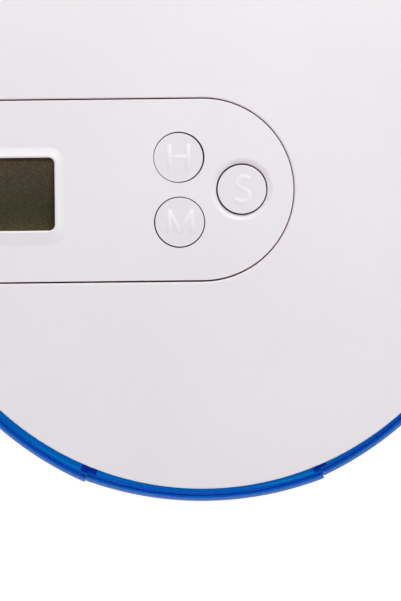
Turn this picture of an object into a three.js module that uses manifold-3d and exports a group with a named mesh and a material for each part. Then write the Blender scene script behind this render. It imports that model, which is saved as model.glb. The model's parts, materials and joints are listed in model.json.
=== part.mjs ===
// Round electronic pill box: seven wedge drawers under a white cover, and a tongue-shaped
// timer that slides out of the cover along its own channel.
// Millimetres, +Z up, origin under the middle of the box on the surface it stands on.
// -Y is the front, +X the right, and the timer's outer end points to -X.
import * as THREE from 'three';
import { mergeVertices } from 'three/addons/utils/BufferGeometryUtils.js';
import Module from 'manifold-3d';

const wasm = await Module();
wasm.setup();

// Overall form
const COVER_R = 46.0;
const COVER_TOP = 26.0;
const COVER_RIM_FOOT = 23.0;
const COVER_PLATE = 1.6;
const COVER_EDGE_ROUND = 1.0;
const CLEARANCE = 0.3;

// The ring is cut into eight equal sectors; the one under the timer's end is fixed
const SECTOR_DEG = 45;
const HALF_SECTOR = THREE.MathUtils.degToRad(SECTOR_DEG / 2);
const FIXED_SECTOR_DEG = 180;
const SEAM_HALF_GAP = 0.17;

// Drawers: angle of each and how far its front stands proud of the common ring
const DRAWERS = [
  { deg: 0, proud: 0 },
  { deg: 45, proud: 0 },
  { deg: 90, proud: 0 },
  { deg: 135, proud: 0 },
  { deg: 225, proud: 0.3 },
  { deg: 270, proud: 0 },
  { deg: 315, proud: -0.4 },
];
const FACE_R = 51.9;
const FACE_SET_BACK = 4.4;
const FRONT_WALL = 1.5;
const FRONT_FOOT = 1.2;
const FRONT_TOP = 22.6;
const FRONT_LEAN = 0.95;
const FRONT_EDGE_ROUND = 0.3;
const LIP_OUT = 0.65;
const LIP_H = 0.8;

// Outer side of a front: how far below its top and how far inside its face arc each corner lies
const FRONT_SHOULDER = [
  { down: 1.1, inset: 0.03 },
  { down: 0.72, inset: 0.45 },
  { down: 0.25, inset: 0.6 },
  { down: 0, inset: 0.9 },
];
const RETURN_R = 44.2;
const TRAY_IN_R = 16.4;
const TRAY_WALL = 1.0;
const TRAY_UNDER = 4.6;
const TRAY_FLOOR = 1.2;
const TRAY_TOP = 16.1;
const TRAY_FACE_R = 49.9;
const FLOOR_CURVE = 1.6;

// Runner under each drawer and the guide ribs that it slides between
const RUNNER_W = 4.3;
const RUNNER_END = 43.4;
const HEEL_W = 6.0;
const HEEL_START = 16.9;
const HEEL_LENGTH = 3.0;
const RUNNER_FOOT = 2.9;
const GUIDE_WALL = 1.2;
const GUIDE_START = 16.6;
const GUIDE_END = 44.4;
const GUIDE_TOP = 4.3;
const STOP_START = 42.8;

// Base
const BASE_R = 45.2;
const BASE_UNDER = 0.8;
const BASE_TOP = 2.6;
const BASE_CHAMFER = 0.6;
const HUB_OUT_R = 15.7;
const HUB_IN_R = 13.9;
const HUB_TOP = 16.2;
const PARTITION_WALL = 1.2;
const PARTITION_END = 41.7;
const FOOT_R = 4.0;
const FOOT_H = 1.2;
const FOOT_RING_R = 38.0;
const FOOT_POCKET = 0.7;
const FOOT_DEGS = [45, 135, 225, 315];

// Cover interior
const SKIRT_OUT_R = 43.7;
const SKIRT_IN_R = 42.2;
const SKIRT_FOOT = 16.4;
const CHANNEL_WALL = 2.0;
const CHANNEL_UNDER = 16.5;
const CHANNEL_FLOOR = 17.7;
const CHANNEL_END_R = 43.9;
const DECK_R = 41.9;
const DECK_TOP = 17.7;
const PIN_RING_R = 30.0;
const PIN_DEGS = [0, 60, 120, 240, 300];
const PIN_R = 0.8;
const PIN_POST_R = 1.6;

// Screws that hold the cover to the base, from below
const BASE_SCREW_SPOTS = [
  { r: 9.0, deg: 60 },
  { r: 9.0, deg: 180 },
  { r: 9.0, deg: 300 },
  { r: 38.0, deg: 168 },
  { r: 38.0, deg: 192 },
];
const BASE_SCREW = { headR: 2.1, headH: 1.5, shankR: 1.1, under: 1.4, length: 9.6 };
const BOSS_R = 3.2;
const BOSS_TOP = 5.0;
const COVER_BOSS_R = 2.8;

// Timer: half the tongue's width is also the radius of its round end
const TIMER_HALF = 13.9;
const TIMER_UNDER = 18.0;
const TIMER_BACK = 1.5;
const TIMER_WALL = 1.2;
const TIMER_FACE = 1.5;
const LIP_WALL = 1.0;
const FLANGE_OUT = 1.0;
const FLANGE_H = 0.9;
const FLANGE_X = -43.0;
const FACE_UNDER = COVER_TOP - TIMER_FACE;
const BACK_TOP = TIMER_UNDER + TIMER_BACK;
const GRIP_COUNT = 5;
const GRIP_PITCH = 2.6;
const GRIP_R = 0.45;

// Keys lie on one circle round the axis
const KEY_RING_R = 6.12;
const KEY_R = 3.7;
const KEY_TOP = 26.1;
const KEY_FOOT = 23.05;
const KEY_STEM_R = 2.0;
const KEY_FLANGE_R = 4.5;
const KEYS = [
  { name: 'hour_key', deg: 126 },
  { name: 'minute_key', deg: 234 },
  { name: 'set_key', deg: 0 },
];
const KEY_STEM_H = 0.45;
const KEY_FLANGE_TOP = 1.05;
const KEY_EDGE_ROUND = 0.35;
const DISH_R = 4.95;
const DISH_DEPTH = 0.4;

// Display window opening and its raised frame
const WINDOW = { left: -41.2, right: -22.7, back: 5.12, front: -6.05, corner: 0.92 };
const FRAME_TOP = 26.4;
const FRAME_SIDE = 1.45;
const FRAME_FRONT = 1.9;
const WINDOW_FLANGE = 1.2;

// Parts inside the timer
const CELL = { x: -14.0, r: 5.8, under: 19.8, h: 3.05 };
const BOARD = { left: -42.0, right: 11.6, half: 8.9, under: 20.6, top: 21.6 };
const CAP = { r: 7.2, ring: 1.0, plate: 1.0, top: 20.2, lugR: 8.1, lugDeg: 40, openDeg: 35 };
const TIMER_SCREW_SPOTS = [
  [5.5, 9.4],
  [5.5, -9.4],
  [-40.0, 10.8],
  [-40.0, -10.8],
];
const TIMER_SCREW = { headR: 1.7, headH: 0.6, shankR: 0.9, under: 18.15, length: 4.8 };
const TIMER_BOSS_R = 2.0;
const BUZZER = { x: 2.5, r: 6.5, h: 0.3 };
const SEAT_GAP = 0.05;
const WINDOW_REBATE = 0.7;
const PANE_FLANGE_H = 0.5;
const PANE_SINK = 0.15;
const PANE_PLAY = 0.25;
const LCD = { under: 22.5, top: 24.15, corner: 0.3 };
const CONNECTOR = { setBack: 0.5, shift: 0.4, depth: 1.6, headGap: 0.08 };
const MAT = { padR: 4.0, sheet: 0.5, domeR: 2.6, domeTopR: 2.0, domeRise: 0.2 };
const CAP_SLOT = { half: 4.6, halfWidth: 0.8, depth: 0.55 };
const CONTACT = { leaf: 0.25, half: 2.0, reach: 3.0, rise: 0.1, legGap: 1.1, leg: 0.3 };
const CLIP = { half: 1.5, gap: 0.2, blade: 0.3, height: 1.1, foot: 2.2, footH: 0.25 };
const CHIP = { x: -30.0, r: 3.4, tipR: 2.4, h: 0.8 };

// Facets
const RING_SIDES = 60;
const ARC_STEPS = 6;
const INNER_ARC_STEPS = 3;
const SMALL_SIDES = 12;

// Solids and booleans

// A closed triangle mesh as a solid, with the corners of its triangles shared
function toSolid(geometry) {
  const bare = geometry.clone();
  bare.deleteAttribute('normal');
  bare.deleteAttribute('uv');
  const shared = mergeVertices(bare, 1e-4);
  const index = shared.index.array;
  const kept = [];
  for (let i = 0; i < index.length; i += 3) {
    const [a, b, c] = [index[i], index[i + 1], index[i + 2]];
    if (a !== b && b !== c && c !== a) kept.push(a, b, c);
  }
  const vertProperties = Float32Array.from(shared.attributes.position.array);
  const triVerts = Uint32Array.from(kept);
  return new wasm.Manifold(new wasm.Mesh({ numProp: 3, vertProperties, triVerts }));
}

function toGeometry(solid) {
  const mesh = solid.getMesh();
  const geometry = new THREE.BufferGeometry();
  geometry.setAttribute('position', new THREE.BufferAttribute(mesh.vertProperties, 3));
  geometry.setIndex(new THREE.BufferAttribute(mesh.triVerts, 1));
  geometry.computeVertexNormals();
  return geometry;
}

function join(...parts) {
  return toGeometry(parts.map(toSolid).reduce((sum, part) => sum.add(part)));
}

function cut(body, ...tools) {
  return toGeometry(tools.map(toSolid).reduce((rest, tool) => rest.subtract(tool), toSolid(body)));
}

function common(a, b) {
  return toGeometry(toSolid(a).intersect(toSolid(b)));
}

// Basic forms, all standing along Z

function plate(shape, low, high, curveSegments = 8) {
  const geometry = new THREE.ExtrudeGeometry(shape, {
    depth: high - low,
    bevelEnabled: false,
    curveSegments,
  });
  return geometry.translate(0, 0, low);
}

function post(x, y, radius, low, high, sides = SMALL_SIDES, topRadius = radius) {
  const geometry = new THREE.CylinderGeometry(topRadius, radius, high - low, sides);
  return geometry.rotateX(Math.PI / 2).translate(x, y, (low + high) / 2);
}

function block(x0, x1, y0, y1, z0, z1) {
  const geometry = new THREE.BoxGeometry(x1 - x0, y1 - y0, z1 - z0);
  return geometry.translate((x0 + x1) / 2, (y0 + y1) / 2, (z0 + z1) / 2);
}

// Revolves a profile of [radius, height] pairs, given counter-clockwise, round the Z axis
function revolve(profile, sides = RING_SIDES) {
  const closed = [...profile, profile[0]];
  const points = closed.map(([r, z]) => new THREE.Vector2(r, z));
  return new THREE.LatheGeometry(points, sides).rotateX(Math.PI / 2);
}

// Skins a stack of outlines of equal length, lowest first, and closes both ends
function loft(rings) {
  const size = rings[0].outline.length;
  const positions = rings.flatMap(({ outline, z }) => outline.flatMap((p) => [p.x, p.y, z]));
  const index = [];
  for (let level = 0; level < rings.length - 1; level += 1) {
    for (let i = 0; i < size; i += 1) {
      const a = level * size + i;
      const b = level * size + ((i + 1) % size);
      index.push(a, b, b + size, a, b + size, a + size);
    }
  }
  const top = (rings.length - 1) * size;
  const lowCap = THREE.ShapeUtils.triangulateShape(rings[0].outline, []);
  const highCap = THREE.ShapeUtils.triangulateShape(rings[rings.length - 1].outline, []);
  lowCap.forEach(([a, b, c]) => index.push(a, c, b));
  highCap.forEach(([a, b, c]) => index.push(top + a, top + b, top + c));
  const geometry = new THREE.BufferGeometry();
  geometry.setAttribute('position', new THREE.Float32BufferAttribute(positions, 3));
  geometry.setIndex(index);
  return geometry;
}

function polar(radius, deg) {
  const angle = THREE.MathUtils.degToRad(deg);
  return [radius * Math.cos(angle), radius * Math.sin(angle)];
}

function turned(geometry, deg, shift = 0) {
  return geometry.translate(shift, 0, 0).rotateZ(THREE.MathUtils.degToRad(deg));
}

function arcPoints(centreX, radius, from, to, steps = ARC_STEPS) {
  return Array.from({ length: steps + 1 }, (_, i) => {
    const angle = from + ((to - from) * i) / steps;
    return new THREE.Vector2(centreX + radius * Math.cos(angle), radius * Math.sin(angle));
  });
}

// Sector outlines, drawn with the sector's middle line along +X

// Half angle at which an arc round the box's axis meets a line beside the sector's seam
function axisArcEnd(radius, side) {
  return HALF_SECTOR - Math.asin(side / radius);
}

// The same for the flatter arc of a drawer's face, whose centre lies behind the axis
function faceArcEnd(radius, side) {
  return HALF_SECTOR - Math.asin((side + FACE_SET_BACK * Math.sin(HALF_SECTOR)) / radius);
}

function wedgeOutline(side, innerR, faceR) {
  const inner = axisArcEnd(innerR, side);
  const outer = faceArcEnd(faceR, side);
  return [
    ...arcPoints(-FACE_SET_BACK, faceR, -outer, outer),
    ...arcPoints(0, innerR, inner, -inner, INNER_ARC_STEPS),
  ];
}

function frontOutline(outerR, innerR) {
  const outer = faceArcEnd(outerR, SEAM_HALF_GAP);
  const inner = faceArcEnd(innerR, SEAM_HALF_GAP);
  return [
    ...arcPoints(-FACE_SET_BACK, outerR, -outer, outer),
    ...arcPoints(-FACE_SET_BACK, innerR, inner, -inner),
  ];
}

// A point beside the seam on the sector's +Y side, measured along and square to the seam
function besideSeam(along, side) {
  const x = along * Math.cos(HALF_SECTOR) + side * Math.sin(HALF_SECTOR);
  const y = along * Math.sin(HALF_SECTOR) - side * Math.cos(HALF_SECTOR);
  return new THREE.Vector2(x, y);
}

// A wall that runs along one seam of the sector; mirror = -1 gives the other seam
function seamWall(from, to, thickness, low, high, mirror) {
  const corners = [
    besideSeam(from, SEAM_HALF_GAP),
    besideSeam(from, SEAM_HALF_GAP + thickness),
    besideSeam(to, SEAM_HALF_GAP + thickness),
    besideSeam(to, SEAM_HALF_GAP),
  ];
  const outline = corners.map((p) => new THREE.Vector2(p.x, p.y * mirror));
  return plate(new THREE.Shape(outline), low, high);
}

// Drawers

// How far the front's inner side leans in at a height
function lean(z) {
  return FRONT_LEAN * ((z - FRONT_FOOT) / (FRONT_TOP - FRONT_FOOT)) ** 1.8;
}

function frontRing(z, inset) {
  return { z, outline: frontOutline(FACE_R - inset, FACE_R - FRONT_WALL - lean(z)) };
}

// Front with a stepped shoulder at its top and a lip along its foot for a fingernail
function frontWall() {
  const lipTop = FRONT_FOOT + LIP_H;
  return loft([
    frontRing(FRONT_FOOT, -LIP_OUT),
    frontRing(lipTop, -LIP_OUT),
    frontRing(lipTop + LIP_OUT, 0),
    frontRing(TRAY_TOP, 0),
    ...FRONT_SHOULDER.map(({ down, inset }) => frontRing(FRONT_TOP - down, inset)),
  ]);
}

function endReturns(top) {
  const faceEnd = COVER_R - FRONT_EDGE_ROUND;
  return [1, -1].map((mirror) => seamWall(RETURN_R, faceEnd, TRAY_WALL, TRAY_UNDER, top, mirror));
}

// Wedge tray, scooped where its walls meet the floor
function trayShell() {
  const outline = wedgeOutline(SEAM_HALF_GAP, TRAY_IN_R, TRAY_FACE_R + 0.4);
  const outer = loft([
    { z: TRAY_UNDER, outline },
    { z: TRAY_TOP, outline },
  ]);
  const floor = TRAY_UNDER + TRAY_FLOOR;
  const side = SEAM_HALF_GAP + TRAY_WALL;
  const steps = [0, 0.4, 1];
  const scoop = steps.map((t) => {
    const inset = FLOOR_CURVE * (1 - Math.sqrt(1 - (1 - t) ** 2));
    const ring = wedgeOutline(side + inset, TRAY_IN_R + TRAY_WALL + inset, TRAY_FACE_R - inset);
    return { z: floor + FLOOR_CURVE * t, outline: ring };
  });
  const mouth = wedgeOutline(side, TRAY_IN_R + TRAY_WALL, TRAY_FACE_R);
  return cut(outer, loft([...scoop, { z: TRAY_TOP + 1, outline: mouth }]));
}

// Runner whose wide heel catches behind the stops of the guide ribs
function runner() {
  const heelEnd = HEEL_START + HEEL_LENGTH;
  const outline = [
    [HEEL_START, -HEEL_W / 2],
    [heelEnd, -HEEL_W / 2],
    [heelEnd, -RUNNER_W / 2],
    [RUNNER_END, -RUNNER_W / 2],
    [RUNNER_END, RUNNER_W / 2],
    [heelEnd, RUNNER_W / 2],
    [heelEnd, HEEL_W / 2],
    [HEEL_START, HEEL_W / 2],
  ].map(([x, y]) => new THREE.Vector2(x, y));
  return plate(new THREE.Shape(outline), RUNNER_FOOT, TRAY_UNDER + TRAY_FLOOR / 2);
}

function drawerGeometry() {
  const returns = endReturns(FRONT_TOP - FRONT_EDGE_ROUND);
  return join(trayShell(), frontWall(), ...returns, runner());
}

// Fixed eighth piece of the rim, notched so that the timer can slide out over it
function rimPanelGeometry() {
  const returns = endReturns(FRONT_TOP - FRONT_EDGE_ROUND);
  const half = TIMER_HALF + FLANGE_OUT + 0.4;
  const notchFloor = CHANNEL_FLOOR - CLEARANCE;
  const notch = block(RETURN_R - 4, FACE_R, -half, half, notchFloor, COVER_TOP);
  return cut(join(frontWall(), ...returns), notch);
}

// Base

// Pair of guide ribs with inward stops at their outer ends, for the sector along +X
function guideRibs() {
  const inside = HEEL_W / 2 + CLEARANCE;
  const stopInside = RUNNER_W / 2 + CLEARANCE;
  const low = BASE_TOP - BASE_CHAMFER;
  return [1, -1].map((mirror) => {
    const outline = [
      [GUIDE_START, inside],
      [STOP_START, inside],
      [STOP_START, stopInside],
      [GUIDE_END, stopInside],
      [GUIDE_END, inside + GUIDE_WALL],
      [GUIDE_START, inside + GUIDE_WALL],
    ].map(([x, y]) => new THREE.Vector2(x, y * mirror));
    return plate(new THREE.Shape(outline), low, GUIDE_TOP);
  });
}

function baseGeometry() {
  const floor = revolve([
    [0, BASE_UNDER],
    [BASE_R - BASE_CHAMFER, BASE_UNDER],
    [BASE_R, BASE_UNDER + BASE_CHAMFER],
    [BASE_R, BASE_TOP],
    [0, BASE_TOP],
  ]);
  const hub = revolve([
    [HUB_IN_R, BASE_TOP - BASE_CHAMFER],
    [HUB_OUT_R, BASE_TOP - BASE_CHAMFER],
    [HUB_OUT_R, HUB_TOP],
    [HUB_IN_R, HUB_TOP],
  ], 40);
  const ribs = DRAWERS.flatMap(({ deg }) => guideRibs().map((rib) => turned(rib, deg)));
  const partitions = [1, -1].map((mirror) => {
    const wall = seamWall(HUB_IN_R + 1, PARTITION_END, PARTITION_WALL, BASE_UNDER + 1, HUB_TOP, mirror);
    return turned(wall, FIXED_SECTOR_DEG);
  });
  const spots = BASE_SCREW_SPOTS.map(({ r, deg }) => polar(r, deg));
  const bosses = spots.map(([x, y]) => post(x, y, BOSS_R, BASE_UNDER + 1, BOSS_TOP));
  const { headR, headH, shankR, under } = BASE_SCREW;
  const headRoof = under + headH + CLEARANCE;
  const pockets = spots.map(([x, y]) => post(x, y, headR + CLEARANCE, 0, headRoof));
  const holes = spots.map(([x, y]) => post(x, y, shankR + CLEARANCE, 0, BOSS_TOP + 1));
  const footPockets = FOOT_DEGS.map((deg) => {
    const [x, y] = polar(FOOT_RING_R, deg);
    return post(x, y, FOOT_R + CLEARANCE, 0, BASE_UNDER + FOOT_POCKET, 16);
  });
  return cut(join(floor, hub, ...ribs, ...partitions, ...bosses), ...pockets, ...holes, ...footPockets);
}

function footGeometry() {
  return revolve([
    [0, 0],
    [FOOT_R - 0.4, 0],
    [FOOT_R, 0.4],
    [FOOT_R, FOOT_H],
    [0, FOOT_H],
  ], 16);
}

// Pan-head screw with its head down
function screwGeometry({ headR, headH, shankR, length }) {
  return revolve([
    [0, 0],
    [headR * 0.7, 0],
    [headR, headH * 0.45],
    [headR, headH],
    [shankR, headH],
    [shankR, headH + length - 1],
    [0, headH + length],
  ], 12);
}

// Tongue outline: a half circle round the axis, straight sides, and an arc at the rim
function tongueShape(half, rimR) {
  const shape = new THREE.Shape();
  const rimAngle = Math.asin(half / rimR);
  shape.moveTo(0, -half);
  shape.absarc(0, 0, half, -Math.PI / 2, Math.PI / 2, false);
  shape.absarc(0, 0, rimR, Math.PI - rimAngle, Math.PI + rimAngle, false);
  shape.closePath();
  return shape;
}

function tongue(half, rimR, low, high) {
  return plate(tongueShape(half, rimR), low, high, 10);
}

// Cover and deck

function coverGeometry() {
  const plateUnder = COVER_TOP - COVER_PLATE;
  const edge = arcProfile(COVER_R - COVER_EDGE_ROUND, COVER_TOP - COVER_EDGE_ROUND, COVER_EDGE_ROUND);
  const disc = revolve([
    [0, plateUnder],
    [SKIRT_IN_R, plateUnder],
    [SKIRT_IN_R, SKIRT_FOOT],
    [SKIRT_OUT_R, SKIRT_FOOT],
    [SKIRT_OUT_R, COVER_RIM_FOOT],
    [COVER_R, COVER_RIM_FOOT],
    ...edge,
    [0, COVER_TOP],
  ]);
  const channel = TIMER_HALF + CLEARANCE;
  const trough = tongue(channel + CHANNEL_WALL, CHANNEL_END_R, CHANNEL_UNDER, plateUnder + 1);
  const pocket = tongue(channel, COVER_R + 8, CHANNEL_FLOOR, COVER_TOP + 2);
  const grooveLow = BACK_TOP - FLANGE_H - CLEARANCE;
  const grooveHigh = BACK_TOP + CLEARANCE;
  const reach = channel + FLANGE_OUT;
  const grooves = block(-COVER_R - 8, 0.4, -reach, reach, grooveLow, grooveHigh);
  const spots = BASE_SCREW_SPOTS.map(({ r, deg }) => polar(r, deg));
  const bossFoot = BOSS_TOP + CLEARANCE;
  const bosses = spots.map(([x, y]) => post(x, y, COVER_BOSS_R, bossFoot, CHANNEL_FLOOR - 0.2));
  const pilotTop = BASE_SCREW.under + BASE_SCREW.headH + BASE_SCREW.length + 0.5;
  const pilotR = BASE_SCREW.shankR + CLEARANCE;
  const pilots = spots.map(([x, y]) => post(x, y, pilotR, 0, pilotTop));
  const pinSpots = PIN_DEGS.map((deg) => polar(PIN_RING_R, deg));
  const deckRoom = DECK_TOP + CLEARANCE;
  const posts = pinSpots.map(([x, y]) => post(x, y, PIN_POST_R, deckRoom, plateUnder + 1, 8));
  const pins = pinSpots.map(([x, y]) => post(x, y, PIN_R, CHANNEL_UNDER + 0.1, deckRoom + 1, 8));
  return cut(join(disc, trough, ...bosses, ...posts, ...pins), pocket, grooves, ...pilots);
}

// Quarter round from a vertical side to a flat top, for a profile
function arcProfile(r, z, radius, steps = 3) {
  return Array.from({ length: steps + 1 }, (_, i) => {
    const angle = (Math.PI / 2) * (i / steps);
    return [r + radius * Math.cos(angle), z + radius * Math.sin(angle)];
  });
}

function deckGeometry() {
  const disc = post(0, 0, DECK_R, CHANNEL_UNDER, DECK_TOP, 48);
  const half = TIMER_HALF + CHANNEL_WALL + 2 * CLEARANCE;
  const room = tongue(half, COVER_R + 8, CHANNEL_UNDER - 2, DECK_TOP + 2);
  const holes = PIN_DEGS.map((deg) => {
    const [x, y] = polar(PIN_RING_R, deg);
    return post(x, y, PIN_R + CLEARANCE, CHANNEL_UNDER - 2, DECK_TOP + 2, 8);
  });
  return cut(disc, room, ...holes);
}

// Timer shells

function roundedBox({ left, right, front, back, corner }, grow) {
  const [x0, x1, y0, y1] = [left - grow, right + grow, front - grow, back + grow];
  const r = corner + Math.max(grow, 0);
  const shape = new THREE.Shape();
  shape.moveTo(x0 + r, y0);
  shape.absarc(x1 - r, y0 + r, r, -Math.PI / 2, 0, false);
  shape.absarc(x1 - r, y1 - r, r, 0, Math.PI / 2, false);
  shape.absarc(x0 + r, y1 - r, r, Math.PI / 2, Math.PI, false);
  shape.absarc(x0 + r, y0 + r, r, Math.PI, Math.PI * 1.5, false);
  shape.closePath();
  return shape;
}

// Soft frame that falls from the window's edge to the timer's face on all four sides
function displayFrame() {
  const foot = { ...WINDOW, front: WINDOW.front - (FRAME_FRONT - FRAME_SIDE) };
  const rings = [
    { shape: roundedBox(foot, FRAME_SIDE), z: COVER_TOP - 0.2 },
    { shape: roundedBox(foot, FRAME_SIDE), z: COVER_TOP + 0.05 },
    { shape: roundedBox(WINDOW, 0.35), z: FRAME_TOP },
  ];
  return loft(rings.map(({ shape, z }) => ({ outline: shape.getPoints(3).slice(0, -1), z })));
}

function frontShellGeometry() {
  const wallFoot = BACK_TOP + CLEARANCE;
  const outer = tongue(TIMER_HALF, COVER_R, wallFoot, COVER_TOP);
  const inner = tongue(TIMER_HALF - TIMER_WALL, COVER_R - TIMER_WALL, wallFoot - 1, FACE_UNDER);
  const hollow = cut(outer, inner);
  const ceiling = FACE_UNDER + 0.4;
  const bosses = TIMER_SCREW_SPOTS.map(([x, y]) => post(x, y, TIMER_BOSS_R, wallFoot, ceiling));
  const casing = common(outer, join(hollow, ...bosses));
  const opening = plate(roundedBox(WINDOW, 0), FACE_UNDER - 1, FRAME_TOP + 1, 3);
  const rebate = plate(roundedBox(WINDOW, WINDOW_FLANGE), FACE_UNDER - 1, FACE_UNDER + WINDOW_REBATE, 2);
  const keyHoles = KEYS.map(({ deg }) => {
    const [x, y] = polar(KEY_RING_R, deg);
    return post(x, y, KEY_R + CLEARANCE, FACE_UNDER - 1, COVER_TOP + 1, 24);
  });
  const dishFoot = COVER_TOP - DISH_DEPTH;
  const dish = post(KEY_RING_R, 0, KEY_R + CLEARANCE, dishFoot, COVER_TOP + 0.01, 24, DISH_R);
  const shankR = TIMER_SCREW.shankR + CLEARANCE;
  const pilots = TIMER_SCREW_SPOTS.map(([x, y]) => post(x, y, shankR, wallFoot - 1, FACE_UNDER - 0.5));
  const grips = Array.from({ length: GRIP_COUNT }, (_, i) => {
    const y = (i - (GRIP_COUNT - 1) / 2) * GRIP_PITCH;
    const x = -Math.sqrt(COVER_R ** 2 - y ** 2);
    return post(x, y, GRIP_R, wallFoot + 1, COVER_TOP - 1.6, 6);
  });
  return cut(join(casing, displayFrame()), opening, rebate, ...keyHoles, dish, ...pilots, ...grips);
}

// Cap outline with its two bayonet lugs, or the matching hole in the back shell
function lugRing(radius, lugR, turn) {
  const half = CAP.lugDeg / 2;
  const shape = new THREE.Shape();
  [0, 180].forEach((side) => {
    const start = THREE.MathUtils.degToRad(side + turn - half);
    const end = THREE.MathUtils.degToRad(side + turn + half);
    const next = THREE.MathUtils.degToRad(side + turn + 180 - half);
    shape.absarc(0, 0, lugR, start, end, false);
    shape.absarc(0, 0, radius, end, next, false);
  });
  shape.closePath();
  return shape;
}

function backShellGeometry() {
  const floor = tongue(TIMER_HALF, COVER_R, TIMER_UNDER, BACK_TOP);
  const lipHalf = TIMER_HALF - TIMER_WALL - CLEARANCE;
  const lipR = COVER_R - TIMER_WALL - CLEARANCE;
  const lipOuter = tongue(lipHalf, lipR, BACK_TOP - 0.5, BACK_TOP + 1);
  const lipInner = tongue(lipHalf - LIP_WALL, lipR - LIP_WALL, BACK_TOP - 1, BACK_TOP + 2);
  const reach = TIMER_HALF + FLANGE_OUT;
  const flange = block(FLANGE_X, 0, -reach, reach, BACK_TOP - FLANGE_H, BACK_TOP);
  const lugHole = plate(lugRing(CAP.r + CLEARANCE, CAP.lugR + CLEARANCE, CAP.openDeg), 0, BACK_TOP + 2, 3);
  const capHole = turned(lugHole, 0, CELL.x);
  const bossRooms = TIMER_SCREW_SPOTS.map(([x, y]) => {
    return post(x, y, TIMER_BOSS_R + CLEARANCE, BACK_TOP + 0.01, BACK_TOP + 2);
  });
  const { headR, headH, shankR, under } = TIMER_SCREW;
  const pocketRoof = under + headH + CLEARANCE;
  const pockets = TIMER_SCREW_SPOTS.map(([x, y]) => post(x, y, headR + CLEARANCE, 10, pocketRoof));
  const holes = TIMER_SCREW_SPOTS.map(([x, y]) => post(x, y, shankR + CLEARANCE, 10, BACK_TOP + 1));
  const soundHoles = [0, 72, 144, 216, 288].map((deg) => {
    const [x, y] = polar(3, deg);
    return post(BUZZER.x + x, y, 0.6, 10, BACK_TOP + 1, 6);
  });
  const shell = join(floor, cut(lipOuter, lipInner), flange);
  return cut(shell, capHole, ...bossRooms, ...pockets, ...holes, ...soundHoles);
}

function windowGeometry() {
  const flangeLow = FACE_UNDER - SEAT_GAP;
  const flangeHigh = flangeLow + PANE_FLANGE_H;
  const pane = plate(roundedBox(WINDOW, -PANE_PLAY), flangeLow, COVER_TOP - PANE_SINK, 3);
  const flange = plate(roundedBox(WINDOW, WINDOW_FLANGE - CLEARANCE), flangeLow, flangeHigh, 2);
  return join(pane, flange);
}

// Keys: a cap in the shell's hole, a flange under the shell and a stem over the mat
function keyGeometry() {
  return revolve([
    [0, KEY_FOOT],
    [KEY_STEM_R, KEY_FOOT],
    [KEY_STEM_R, KEY_FOOT + KEY_STEM_H],
    [KEY_FLANGE_R, KEY_FOOT + KEY_STEM_H],
    [KEY_FLANGE_R, KEY_FOOT + KEY_FLANGE_TOP],
    [KEY_R, KEY_FOOT + KEY_FLANGE_TOP],
    ...arcProfile(KEY_R - KEY_EDGE_ROUND, KEY_TOP - KEY_EDGE_ROUND, KEY_EDGE_ROUND, 2),
    [0, KEY_TOP],
  ], 16);
}

// Timer interior

function boardGeometry() {
  const { left, right, half, under, top } = BOARD;
  const outline = new THREE.Shape();
  outline.moveTo(left, -half);
  outline.lineTo(right - half, -half);
  outline.absarc(right - half, 0, half, -Math.PI / 2, Math.PI / 2, false);
  outline.lineTo(left, half);
  outline.closePath();
  const cellRoom = post(CELL.x, 0, CELL.r + 0.5, under - 1, top + 1, 24);
  const bossRooms = TIMER_SCREW_SPOTS.map(([x, y]) => {
    return post(x, y, TIMER_BOSS_R + CLEARANCE, under - 1, top + 1);
  });
  return cut(plate(outline, under, top, 10), cellRoom, ...bossRooms);
}

// Rounded triangle round the keys with a dome under each
function matGeometry() {
  const low = BOARD.top + SEAT_GAP;
  const high = low + MAT.sheet;
  const domeTop = high + MAT.domeRise;
  const pads = KEYS.map(({ deg }) => polar(KEY_RING_R, deg));
  const web = new THREE.Shape(pads.map(([x, y]) => new THREE.Vector2(x, y)).reverse());
  const sheet = pads.map(([x, y]) => post(x, y, MAT.padR, low, high));
  const domes = pads.map(([x, y]) => post(x, y, MAT.domeR, high - 0.2, domeTop, 8, MAT.domeTopR));
  return join(plate(web, low, high), ...sheet, ...domes);
}

function lcdGeometry() {
  const glass = { ...WINDOW, corner: LCD.corner };
  return plate(roundedBox(glass, WINDOW_FLANGE), LCD.under, LCD.top, 2);
}

function connectorGeometry() {
  const { setBack, shift, depth, headGap } = CONNECTOR;
  const y = WINDOW.front - shift;
  const [low, high] = [BOARD.top + SEAT_GAP, LCD.under - headGap];
  return block(WINDOW.left + setBack, WINDOW.right - setBack, y, y + depth, low, high);
}

function capGeometry() {
  const cupTop = CAP.top;
  const plateTop = TIMER_UNDER + CAP.plate;
  const cup = revolve([
    [0, TIMER_UNDER],
    [CAP.r - 0.3, TIMER_UNDER],
    [CAP.r, TIMER_UNDER + 0.3],
    [CAP.r, cupTop],
    [CAP.r - CAP.ring, cupTop],
    [CAP.r - CAP.ring, plateTop],
    [0, plateTop],
  ], 24);
  const lugs = plate(lugRing(CAP.r - 0.3, CAP.lugR, 0), BACK_TOP + CLEARANCE, cupTop, 3);
  const bore = post(0, 0, CAP.r - CAP.ring, BACK_TOP, cupTop + 1, 24);
  const { half, halfWidth, depth } = CAP_SLOT;
  const slot = block(-half, half, -halfWidth, halfWidth, TIMER_UNDER - 1, TIMER_UNDER + depth);
  return cut(join(cup, cut(lugs, bore)), slot);
}

function cellGeometry() {
  const { r, under, h } = CELL;
  return revolve([
    [0, under],
    [r - 0.3, under],
    [r, under + 0.3],
    [r, under + h - 0.4],
    [r - 0.7, under + h - 0.3],
    [r - 0.9, under + h],
    [0, under + h],
  ], 20);
}

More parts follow.
